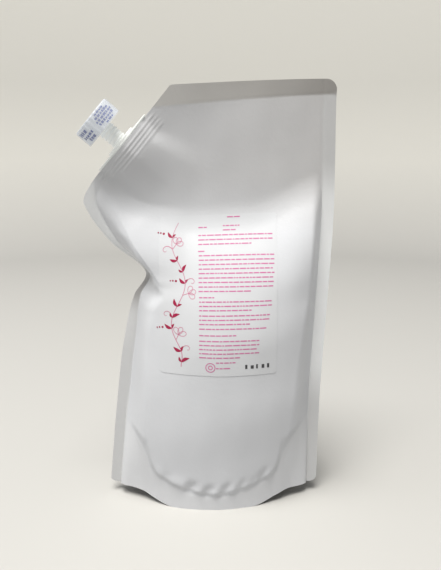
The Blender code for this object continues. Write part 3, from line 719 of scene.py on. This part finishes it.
FILM_WHITE = (0.70, 0.71, 0.73)
# Painted shade: the grey that the upper film darkens to towards its top and right.
FILM_PAINTED_SHADE = (0.56, 0.545, 0.53)
# Painted light: the near white of the side seals where light falls on them.
SEAL_PAINTED_LIGHT = (0.90, 0.91, 0.905)
SEAL_GREY = (0.60, 0.60, 0.595)
BAND_GREY = (0.76, 0.74, 0.70)
# Painted shade: the dark grey of the top band's right end.
BAND_PAINTED_SHADE = (0.36, 0.34, 0.315)
# Painted shade: the dark grey on the left seal under the pinch.
FOLD_PAINTED_SHADE = (0.24, 0.225, 0.215)
SKIRT_WHITE = (0.73, 0.735, 0.745)
SHADE_FROM_Z = 0.215
SHADE_TO_Z = 0.255
SHADE_FROM_X = -0.04
SHADE_TO_X = 0.085
SHADE_LEFT = 0.25
SHADE_RISE = 0.5
SEAL_SHARE = 0.9
SKIRT_SHARE = 0.7
BAND_SHARE = 0.9
FOLD_SHADE_SHARE = 0.85
SEAL_ROUGHER = 0.08
film_slots = {"IOR": 1.5, "Coat Weight": 0.4, "Coat Roughness": 0.24}
film_look, add, tint, sheen = plastic("satin_white_film", FILM_WHITE, 0.36, 0.00016, 1.0, patch=0.04,
                                      slot_values=film_slots)
shader = film_look.node_tree.nodes["Principled BSDF"]
mask = {name: add("ShaderNodeAttribute", attribute_name=name).outputs["Fac"]
        for name in ("seal", "seal_painted_light", "fold_painted_shade", "band", "skirt")}
place = add("ShaderNodeSeparateXYZ", {0: add("ShaderNodeTexCoord").outputs["Object"]}).outputs
# Painted shade: the upper film's colour darkens towards its top, and more towards its right, where the
# empty film leans forward away from the lamps.
high = add("ShaderNodeMapRange", {"Value": place["Z"], "From Min": SHADE_FROM_Z,
                                  "From Max": SHADE_TO_Z}).outputs[0]
rightward = add("ShaderNodeMapRange", {"Value": place["X"], "From Min": SHADE_FROM_X,
                                       "From Max": SHADE_TO_X}).outputs[0]
shade = worked(add, "MULTIPLY", high, worked(add, "MULTIPLY_ADD", rightward, SHADE_RISE, SHADE_LEFT))
colour = mixed(add, shade, tint, (*FILM_PAINTED_SHADE, 1.0))
# Painted light: the seals turn from their grey to near white by the share of painted light.
seal_colour = mixed(add, mask["seal_painted_light"], (*SEAL_GREY, 1.0), (*SEAL_PAINTED_LIGHT, 1.0))
# Painted shade: the top seal band's colour darkens from light grey at its left to dark grey at its
# right.
band_colour = mixed(add, rightward, (*BAND_GREY, 1.0), (*BAND_PAINTED_SHADE, 1.0))
# Over the film's colour go the seals, the skirt, the top band, and the painted shade on the left seal
# under the pinch.
for name, weight, over in (("seal", SEAL_SHARE, seal_colour),
                           ("skirt", SKIRT_SHARE, (*SKIRT_WHITE, 1.0)),
                           ("band", BAND_SHARE, band_colour),
                           ("fold_painted_shade", FOLD_SHADE_SHARE, (*FOLD_PAINTED_SHADE, 1.0))):
    colour = mixed(add, worked(add, "MULTIPLY", mask[name], weight), colour, over)
rougher = worked(add, "MULTIPLY_ADD", mask["seal"], SEAL_ROUGHER, sheen)
film_look.node_tree.links.new(colour, shader.inputs["Base Color"])
film_look.node_tree.links.new(rougher, shader.inputs["Roughness"])
pouch_skin.data.materials.append(film_look)
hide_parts("pouch")
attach(pouch_skin, "pack")

# Label: a thin white sticker pressed on the front panel, following its bulge, with corners cut
# round. It is the film's own surface between the label's edges, lifted along the film's normal.

LABEL_LIFT = 0.00012
LABEL_T = 0.00012
LABEL_CORNER_R = 0.0020
LABEL_WIDE = LABEL_LEFT + LABEL_RIGHT
LABEL_LOW = LABEL_HEAD - LABEL_H
LABEL_WHITE = (0.70, 0.71, 0.725)
NORMAL_STEP = 0.0008


def film_front(x, z):
    """Point of the pouch's front at side to side place x and height z."""
    _, left, right, _ = edges_at(z)
    return film_point(x, z, left, right, through(VALLEY, x))[0]


def on_label(wide, up, lift):
    """Point lifted off the label's place, wide metres from its left edge and up from its foot.

    The normal is the cross product of the surface's differences over two tiny steps."""
    x = wide - LABEL_LEFT
    z = LABEL_LOW + up * (1 + LABEL_SKEW * x / LABEL_H)
    normal = np.cross(film_front(x + NORMAL_STEP, z) - film_front(x - NORMAL_STEP, z),
                      film_front(x, z + NORMAL_STEP) - film_front(x, z - NORMAL_STEP))
    normal /= np.linalg.norm(normal, axis=-1, keepdims=True)
    return film_front(x, z) + normal * np.asarray(lift)[..., None]


near_end = LABEL_CORNER_R * (1 - np.cos(np.linspace(0, math.pi / 2, 7)))
up = np.concatenate([near_end, np.linspace(LABEL_CORNER_R, LABEL_H - LABEL_CORNER_R, 84)[1:-1],
                     LABEL_H - near_end[::-1]])
from_end = np.clip(LABEL_CORNER_R - np.minimum(up, LABEL_H - up), 0, None)
cut_in = LABEL_CORNER_R - np.sqrt(LABEL_CORNER_R**2 - from_end**2)
wide = cut_in[:, None] + np.linspace(0, 1, 66) * (LABEL_WIDE - 2 * cut_in[:, None])
sheets = [on_label(wide, up[:, None] + 0 * wide, LABEL_LIFT + lift + 0 * wide)
          for lift in (0.0, LABEL_T)]

number = np.arange(2 * wide.size).reshape(2, *wide.shape)
rim = [np.concatenate([n[0], n[1:, -1], n[-1, -2::-1], n[-2:0:-1, 0]]) for n in number]
wall = np.stack([rim[0], np.roll(rim[0], -1), np.roll(rim[1], -1), rim[1]], axis=-1).tolist()
label_sheet = joined("label_sheet", sheets, more=wall, closed=True)
label_look, *_ = plastic("coated_label", LABEL_WHITE, 0.34, 0.00010, 1.3, sharpness=0.3, patch=0.03,
                         slot_values={"Coat Weight": 0.3, "Coat Roughness": 0.18})
label_sheet.data.materials.append(label_look)
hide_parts("front_label")
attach(label_sheet, "pack")

# Print on the label: ink, drawn as thin raised shapes that follow the sticker. A plain climbing
# stem with leaves, buds and curls fills its left third, and rows of small dashes stand for text.

INK_T = 0.00009
INK_CRIMSON = (0.38, 0.006, 0.060)
INK_PINK = (0.66, 0.17, 0.37)
INK_ROSE = (0.64, 0.20, 0.32)
INK_BLACK = (0.045, 0.045, 0.05)
STEM_WIDE = 0.0005
STALK = 0.0046
BLOOM_TURN = 0.9
PETAL_LONG = 0.0060
PETAL_WIDE = 0.0040
CURL_SIZE = 0.0060


def printed(name, shapes, colour):
    """Ink piece from flat shapes [row, column, 2] in label metres, all laid on the label at once."""
    flat = np.concatenate([s.reshape(-1, 2) for s in shapes])
    laid = on_label(flat[:, 0], flat[:, 1], LABEL_LIFT + LABEL_T + INK_T + 0 * flat[:, 0])
    cuts = np.cumsum([s.shape[0] * s.shape[1] for s in shapes])[:-1]
    grids = [part.reshape(*s.shape[:2], 3) for part, s in zip(np.split(laid, cuts), shapes)]
    piece = joined(name, grids)
    look, *_ = plastic("ink_" + name, colour, 0.42, 0.00003, 2.0, patch=0.12)
    piece.data.materials.append(look)
    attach(piece, "pack")


def stroke(line, wide):
    """Ribbon along a line [n, 2]: the line moved to both sides, square to its direction."""
    run = np.gradient(line, axis=0)
    across = np.stack([-run[:, 1], run[:, 0]], axis=-1)
    across /= np.linalg.norm(across, axis=-1, keepdims=True)
    off = across * np.asarray(wide)[..., None] / 2
    return np.stack([line - off, line + off], axis=1)


def leaf(base, angle, long, wide):
    """Pointed leaf: a bent middle line, and a width that swells and closes as a sine."""
    s, t = np.linspace(0, 1, 14)[:, None], np.linspace(-1, 1, 5)[None, :]
    half = wide / 2 * np.sin(math.pi * s**0.85) ** 0.9 * t
    run = long * s + 0 * t
    side = half + long * 0.12 * np.sin(math.pi * s)
    return np.stack([base[0] + run * math.cos(angle) - side * math.sin(angle),
                     base[1] + run * math.sin(angle) + side * math.cos(angle)], axis=-1)


def curl(base, angle, size, hand):
    """Tendril: a spiral that tightens from its base, drawn as a ribbon that thins."""
    s = np.linspace(0, 1, 34)
    heading = angle + hand * (5.2 * s**1.5)
    step = size * 3.0 / 34 * (1 - 0.62 * s)
    steps = np.stack([step * np.cos(heading), step * np.sin(heading)], axis=-1)
    return stroke(np.array(base) + np.cumsum(steps, axis=0), STEM_WIDE * (1 - 0.5 * s))


def bud(place, radius):
    """Round dot: rings from the middle to the radius."""
    r, a = np.linspace(0.02, 1, 3)[:, None] * radius, np.linspace(0, 2 * math.pi, 17)[None, :]
    return np.stack([place[0] + r * np.cos(a), place[1] + r * np.sin(a)], axis=-1)


def drop_outline(base, angle, long, wide):
    """Outline of a drop-shaped petal: sine width over its length, there and back."""
    s = np.linspace(0, 2 * math.pi, 30)
    run = long * (1 - np.cos(s)) / 2
    side = wide / 2 * np.sin(s) * np.sin(s / 2) ** 0.5
    line = np.stack([base[0] + run * math.cos(angle) - side * math.sin(angle),
                     base[1] + run * math.sin(angle) + side * math.cos(angle)], axis=-1)
    return stroke(line, STEM_WIDE * 0.75)


stem_up = np.linspace(0.006, 0.1085, 90)
stem_x = 0.0138 + 0.0050 * np.sin(stem_up / 0.0092 + 0.7) * np.clip(stem_up / 0.02, 0.4, 1)
stem = np.stack([stem_x, stem_up], axis=-1)
stem_angle = np.arctan2(np.gradient(stem_up), np.gradient(stem_x))
vine = [stroke(stem, STEM_WIDE * (1.1 - 0.5 * stem_up / LABEL_H))]
leaves = []
for k, row in enumerate(range(3, 86, 7)):
    base, angle, hand = stem[row], stem_angle[row], 1 if k % 2 else -1
    small = 1 - 0.25 * row / 90
    if k % 4 == 2:
        out = angle + hand * BLOOM_TURN
        tip = base + STALK * np.array([math.cos(out), math.sin(out)])
        vine.append(stroke(np.linspace(base, tip, 6), STEM_WIDE * 0.8 + np.zeros(6)))
        vine += [drop_outline(tip, out + petal, PETAL_LONG * small, PETAL_WIDE)
                 for petal in (-0.95, 0, 0.95)]
    else:
        for turned, long, wide in ((hand * 0.85, 0.0068, 0.0025), (-hand * 0.65, 0.0044, 0.0018)):
            leaves.append(leaf(base, angle + turned, long * small, wide * small))
    if k % 3 == 1:
        vine.append(curl(base, angle - hand * 0.5, CURL_SIZE, -hand))
for row, hand in ((24, 1), (52, 1), (80, 1)):
    for reach, size in ((0.0070, 0.0008), (0.0092, 0.0006), (0.0110, 0.0005)):
        heading = stem_angle[row] + hand * (1.15 + reach * 20)
        leaves.append(bud(stem[row] + reach * np.array([math.cos(heading), math.sin(heading)]), size))
printed("label_vine", vine, INK_ROSE)
printed("label_leaves", leaves, INK_CRIMSON)

# Rows of dashes: the first row's drop from the label's head, how many, their pitch, left and right
# end, in mm. SIGN_TALL is the height that a row takes up, with its dashes in the middle.
TEXT_ROWS = [(3.0, 1, 0.0, 49, 60), (10.0, 1, 0.0, 28, 36), (9.2, 2, 3.0, 46, 59),
             (15.6, 3, 3.1, 28, 82), (26.6, 1, 0.0, 28, 33), (29.6, 9, 3.05, 28.5, 83),
             (58.2, 1, 0.0, 29, 40), (61.2, 3, 2.95, 29, 81), (70.8, 3, 2.95, 29, 80),
             (80.0, 1, 0.0, 29, 77), (84.6, 1, 0.0, 29, 56), (88.6, 5, 3.0, 29, 72),
             (104.2, 2, 4.2, 41, 55)]
LAST_ROW = 0.72
SIGN_TALL = 0.0019
DASH_TALL = 0.0008
DASH_SHORT = 0.0012
DASH_LONG = 0.0052
DASH_GAP = 0.0006
draw = np.random.default_rng(5)


def bar(left, low, right, high):
    """Rectangle between two corners."""
    return np.array([[[left, low], [right, low]], [[left, high], [right, high]]])


def signs(down, start, end):
    """Row of plain level dashes from start to end, of seeded lengths with small gaps between."""
    made, left, foot = [], start, LABEL_H - down + (SIGN_TALL - DASH_TALL) / 2
    while left + DASH_SHORT < end:
        right = min(left + draw.uniform(DASH_SHORT, DASH_LONG), end)
        made.append(bar(left, foot, right, foot + DASH_TALL))
        left = right + DASH_GAP
    return made


text_signs = []
for drop, row_total, pitch, start, end in TEXT_ROWS:
    for row in range(row_total):
        last = end if row < row_total - 1 or row_total == 1 else start + (end - start) * LAST_ROW
        text_signs += signs((drop + row * pitch) / 1000, start / 1000, last / 1000)

RING_AT = (0.0370, LABEL_H - 0.1070)
RING_RADII = (0.0033, 0.0014)
RING_WIDE = 0.0006
ring_turn = np.linspace(0, 2 * math.pi, 33)
for ring_r in RING_RADII:
    ring_line = ring_r * np.stack([np.cos(ring_turn), np.sin(ring_turn)], axis=-1)
    text_signs.append(stroke(np.array(RING_AT) + ring_line, RING_WIDE + 0 * ring_turn))
printed("label_text", text_signs, INK_PINK)

# Stamped line: five plain dark blocks, with each one's width and height
STAMP_LEFT = 0.0620
STAMP_PITCH = 0.0040
STAMP_FOOT = LABEL_H - 0.1085
STAMP_BLOCKS = [(0.0016, 0.0032), (0.0022, 0.0026), (0.0012, 0.0032), (0.0020, 0.0029), (0.0016, 0.0032)]
stamp = []
for k, (block_wide, block_tall) in enumerate(STAMP_BLOCKS):
    left = STAMP_LEFT + STAMP_PITCH * k
    stamp.append(bar(left, STAMP_FOOT, left + block_wide, STAMP_FOOT + block_tall))
printed("label_stamp", stamp, INK_BLACK)

# Spout: one moulding of natural polyethylene. Its boat-shaped base is welded between the films in
# the cut corner, and only its top plate, oval flange, ringed neck and screw thread stand out. Painted
# light: the spout glows faintly in its own colour, for the light that thin natural plastic lets
# through, and this lifts the neck out of the cap's shadow.

PLATE_FOOT = 0.0004
PLATE_T = 0.0009
PLATE_PROUD = 0.0009
FLANGE_T = 0.0014
FLANGE_HALF = 0.0125
FLANGE_HALF_T = 0.0070
NECK_R = 0.0056
BORE_R = 0.0045
NECK_TOP = 0.0255
LIP_R = 0.0004
NECK_RINGS = 4
NECK_RING_PITCH = 0.0030
NECK_RING_FIRST = 0.00135
NECK_RING_HALF = 0.00070
NECK_RING_PROUD = 0.0008
NECK_STEP = 0.00016
THREAD_PITCH = 0.0030
THREAD_TURNS = 3.1
THREAD_HEAD = NECK_TOP - 0.0012
THREAD_FOOT = THREAD_HEAD - THREAD_PITCH * THREAD_TURNS
THREAD_PROUD = 0.0009
THREAD_FADE = 0.0022
BOAT_INSET = 0.0005
BOAT_SHOULDER = 0.002
BORE_EDGE = 0.0002
EDGE_R = 0.00025
NATURAL_PLASTIC = (0.76, 0.775, 0.745)
# Painted light: strength of the plastic's own glow.
PLASTIC_PAINTED_GLOW = 0.26

around = 2 * math.pi * (np.arange(96) + 0.5) / 96
spout_middle = np.array([SPOUT_AT[0], float(middle_y(*SPOUT_AT)), SPOUT_AT[1]])


def on_spout(a, b, height):
    """World point of spout coordinates: along the cut edge, through the film and out of it."""
    return spout_middle + a[..., None] * EDGE + b[..., None] * BACKWARD + height[..., None] * OUT


def boat_outline(inset, grow=0.0):
    """The boat's outline in its own plane, drawn in or grown."""
    e = BOAT_HALF * np.cos(around)
    half = boat_half(e) * (1 - inset / BOAT_T) + grow
    return np.stack([e * (1 + grow / BOAT_HALF), np.sign(np.sin(around)) * half], axis=-1)


def oval(half_a, half_b):
    """Oval outline with two half widths, each a number or one for every angle."""
    return np.stack([half_a * np.cos(around), half_b * np.sin(around)], axis=-1)


plate_top = PLATE_FOOT + PLATE_T
flange_top = plate_top + FLANGE_T
outlines = [(boat_outline(0), -BOAT_DEPTH), (boat_outline(0), -BOAT_SHOULDER),
            (boat_outline(BOAT_INSET), PLATE_FOOT)]
outlines += [(boat_outline(0, grow), rise) for grow, rise in
             ((PLATE_PROUD - EDGE_R, PLATE_FOOT), (PLATE_PROUD, PLATE_FOOT + EDGE_R),
              (PLATE_PROUD, plate_top - EDGE_R), (PLATE_PROUD - EDGE_R, plate_top))]
outlines += [(oval(FLANGE_HALF, FLANGE_HALF_T), plate_top),
             (oval(FLANGE_HALF, FLANGE_HALF_T), flange_top - EDGE_R),
             (oval(FLANGE_HALF - EDGE_R, FLANGE_HALF_T - EDGE_R), flange_top)]
for up_at in np.arange(flange_top, NECK_TOP - LIP_R, NECK_STEP):
    nearest = np.clip(round((up_at - flange_top - NECK_RING_FIRST) / NECK_RING_PITCH), 0, NECK_RINGS - 1)
    off = (up_at - flange_top - NECK_RING_FIRST - nearest * NECK_RING_PITCH) / NECK_RING_HALF
    collar = NECK_RING_PROUD * math.exp(-(off**2))
    phase = (up_at / THREAD_PITCH - around / (2 * math.pi)) % 1.0
    fade = np.clip(min(up_at - THREAD_FOOT, THREAD_HEAD - up_at) / THREAD_FADE, 0, 1)
    crest = THREAD_PROUD * fade * smooth_step(1.45 - 4.2 * np.abs(phase - 0.5))
    neck_r = NECK_R + collar + crest
    outlines.append((oval(neck_r, neck_r), up_at))
outlines += [(oval(r, r), rise) for r, rise in
             ((NECK_R, NECK_TOP - LIP_R), (NECK_R - LIP_R, NECK_TOP), (BORE_R + BORE_EDGE, NECK_TOP),
              (BORE_R, NECK_TOP - BORE_EDGE), (BORE_R, -BOAT_DEPTH))]
flat = np.stack([outline for outline, _ in outlines])
rises = np.array([rise for _, rise in outlines])[:, None] + 0 * flat[..., 0]
spout_body = skin("spout_body", on_spout(flat[..., 0], flat[..., 1], rises), ring=True, loop=True)
spout_look, *_ = plastic("natural_spout_plastic", NATURAL_PLASTIC, 0.28, 0.00002, 1.0, patch=0.05,
                         slot_values={"IOR": 1.5, "Emission Color": (*NATURAL_PLASTIC, 1.0),
                                      "Emission Strength": PLASTIC_PAINTED_GLOW})
spout_body.data.materials.append(spout_look)
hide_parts("spout")
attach(spout_body, "pack")

# Cap: one moulding of the same natural plastic, a low round screw cap with shallow grip flutes
# outside and a plain sleeve round the thread inside. Painted light: it glows more than the spout,
# for the light that comes through its thin top, and its own colour is lower because the top faces
# the lamp.

CAP_FOOT = 0.0158
CAP_TOP = 0.0279
CAP_R = 0.0155
CAP_TOP_T = 0.0016
SKIRT_T = 0.0014
SLEEVE_IN = 0.00695
SLEEVE_OUT = 0.00845
SLEEVE_FOOT = CAP_FOOT + 0.0012
FLUTES = 26
FLUTE_DEPTH = 0.0005
CAP_EDGE = 0.0008
CAP_FOOT_EDGE = 0.0007
DISH_OUT = 0.0035
DISH_IN = 0.0045
DISH_DEPTH = 0.0003
CAP_PLASTIC = (0.50, 0.52, 0.545)
# Painted light: colour of the cap's glow.
CAP_PAINTED_GLOW = (0.76, 0.79, 0.83)
CAP_PAINTED_GLOW_SHARE = PLASTIC_PAINTED_GLOW * 1.3

around = 2 * math.pi * np.arange(FLUTES * 10) / (FLUTES * 10)
flute = 0.5 - 0.5 * np.cos(around * FLUTES)
edge_turn = np.linspace(0, math.pi / 2, 6)
cap_rings = [(CAP_R - DISH_IN + 0 * around, CAP_TOP - DISH_DEPTH),
             (CAP_R - DISH_OUT + 0 * around, CAP_TOP)]
cap_rings += [(CAP_R - CAP_EDGE * (1 - math.sin(t)) - FLUTE_DEPTH * flute * math.sin(t),
               CAP_TOP - CAP_EDGE * (1 - math.cos(t))) for t in edge_turn]
cap_rings += [(CAP_R - FLUTE_DEPTH * flute, height)
              for height in (CAP_TOP - 0.004, CAP_FOOT + 0.004, CAP_FOOT + 0.0002)]
cap_rings += [(radius + 0 * around, height) for radius, height in
              ((CAP_R - CAP_FOOT_EDGE, CAP_FOOT), (CAP_R - SKIRT_T, CAP_FOOT),
               (CAP_R - SKIRT_T, CAP_TOP - CAP_TOP_T), (SLEEVE_OUT, CAP_TOP - CAP_TOP_T),
               (SLEEVE_OUT, SLEEVE_FOOT), (SLEEVE_IN, SLEEVE_FOOT), (SLEEVE_IN, CAP_TOP - CAP_TOP_T))]
ring_r = np.stack([r for r, _ in cap_rings])
ring_h = np.array([h for _, h in cap_rings])[:, None] + 0 * ring_r
cap_body = skin("cap_body", on_spout(ring_r * np.cos(around), ring_r * np.sin(around), ring_h),
                ring=True, ends=True)
cap_look, *_ = plastic("natural_cap_plastic", CAP_PLASTIC, 0.30, 0.00006, 2.0, patch=0.05,
                       slot_values={"IOR": 1.5, "Emission Color": (*CAP_PAINTED_GLOW, 1.0),
                                    "Emission Strength": CAP_PAINTED_GLOW_SHARE})
cap_body.data.materials.append(cap_look)
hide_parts("cap")
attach(cap_body, "closure")

# Band round the cap: clear shrink film with plain blue marks printed on its inner side.

BAND_IN = CAP_R + 0.0003
BAND_T = 0.00035
BAND_FOOT = CAP_FOOT - 0.0004
BAND_HEAD = CAP_TOP - CAP_EDGE
RIPPLE = 0.00005
MARK_R = CAP_R + 0.00018
CLEAR_TINT = (0.86, 0.89, 0.92)
INK_BLUE = (0.045, 0.095, 0.42)

around = 2 * math.pi * np.arange(120) / 120
band_h = np.linspace(BAND_FOOT, BAND_HEAD, 14)
ripple = RIPPLE * np.sin(around * 9 + 1.0) * np.sin(around * 4)
wave = BAND_IN + (BAND_T + ripple - RIPPLE) * np.ones((14, 1))
outer = on_spout(wave * np.cos(around), wave * np.sin(around), band_h[:, None] + 0 * wave)
plain = BAND_IN + 0 * wave
inner = on_spout(plain * np.cos(around), plain * np.sin(around), band_h[:, None] + 0 * wave)
cap_band = skin("cap_band", np.concatenate([outer, inner[::-1]]), ring=True, loop=True)
band_slots = {"Alpha": 0.22, "IOR": 1.5, "Coat Weight": 0.5, "Coat Roughness": 0.08}
band_look, *_ = plastic("clear_printed_film", CLEAR_TINT, 0.12, 0.00008, 2.0, patch=0.02,
                        slot_values=band_slots)
cap_band.data.materials.append(band_look)
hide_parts("cap_film")
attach(cap_band, "closure")

# Marks: height above the cap's foot, first angle, last angle and tallness, in mm and degrees
MARK_ROWS = [(0.9, -66, -40, 1.3), (2.9, -82, -30, 1.7), (5.2, -84, -24, 1.6), (7.4, -80, -30, 1.7),
             (9.6, -74, -40, 1.2), (1.2, -132, -112, 2.6), (4.2, -146, -104, 2.2),
             (7.2, -150, -118, 2.8)]
marks = []
for rise_mm, first, last, tall in MARK_ROWS:
    at = math.radians(first)
    while at < math.radians(last):
        wide_turn = draw.uniform(0.07, 0.17)
        low = CAP_FOOT + rise_mm / 1000
        high = CAP_FOOT + (rise_mm + tall * draw.uniform(0.7, 1.0)) / 1000
        angle = np.linspace(at, at + wide_turn, 4)[None, :] + np.zeros((2, 1))
        levels = np.array([[low], [high]]) + 0 * angle
        marks.append(on_spout(MARK_R * np.cos(angle), MARK_R * np.sin(angle), levels))
        at += wide_turn + draw.uniform(0.025, 0.05)
cap_marks = joined("cap_marks", marks)
mark_look, *_ = plastic("ink_blue", INK_BLUE, 0.4, 0.00002, 2.0, patch=0.10)
cap_marks.data.materials.append(mark_look)
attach(cap_marks, "closure")
